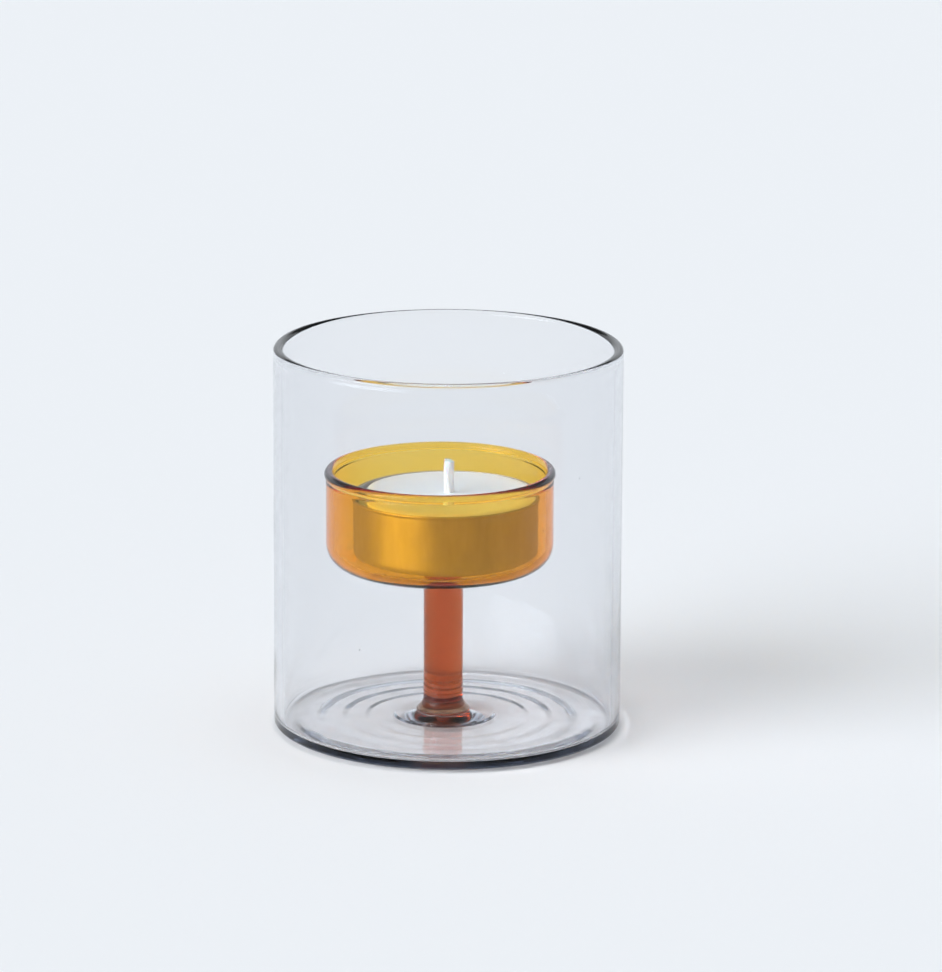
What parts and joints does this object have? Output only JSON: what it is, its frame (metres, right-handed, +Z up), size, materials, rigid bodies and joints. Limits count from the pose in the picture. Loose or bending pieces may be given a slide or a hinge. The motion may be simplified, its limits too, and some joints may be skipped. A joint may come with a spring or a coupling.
{
  "type": "tealight holder",
  "caption": "Tealight holder: an amber glass cup on a coloured glass stem inside a clear glass tumbler, with its tealight.",
  "frame": {"origin": "on the standing surface, on the tumbler's axis", "axes": "+Z up along the tumbler's axis; +X to the right seen from the front; the amber cup sits a little towards -X"},
  "size_m": [0.071, 0.071, 0.0794],
  "materials": {
    "clear_glass": "gloss",
    "rust_glass": "gloss",
    "amber_glass": "gloss",
    "pressed_foil": "satin",
    "candle_wax": "satin",
    "wick_cotton": "matte",
    "sustainer_steel": "satin"
  },
  "bodies": {
    "holder": {"tumbler": "clear_glass", "foot_button": "clear_glass", "stem": "rust_glass", "cup": "amber_glass"},
    "tealight_shell": {"tealight_cup": "pressed_foil"},
    "candle": {"wax": "candle_wax", "wick": "wick_cotton", "wick_sustainer": "sustainer_steel"}
  },
  "joints": [
    {"name": "tealight_lift", "type": "slide", "parent": "holder", "child": "tealight_shell", "axis": [0, 0, 1], "range_m": [0, 0.05]},
    {"name": "candle_lift", "type": "slide", "parent": "tealight_shell", "child": "candle", "axis": [0, 0, 1], "range_m": [0, 0.016]}
  ]
}
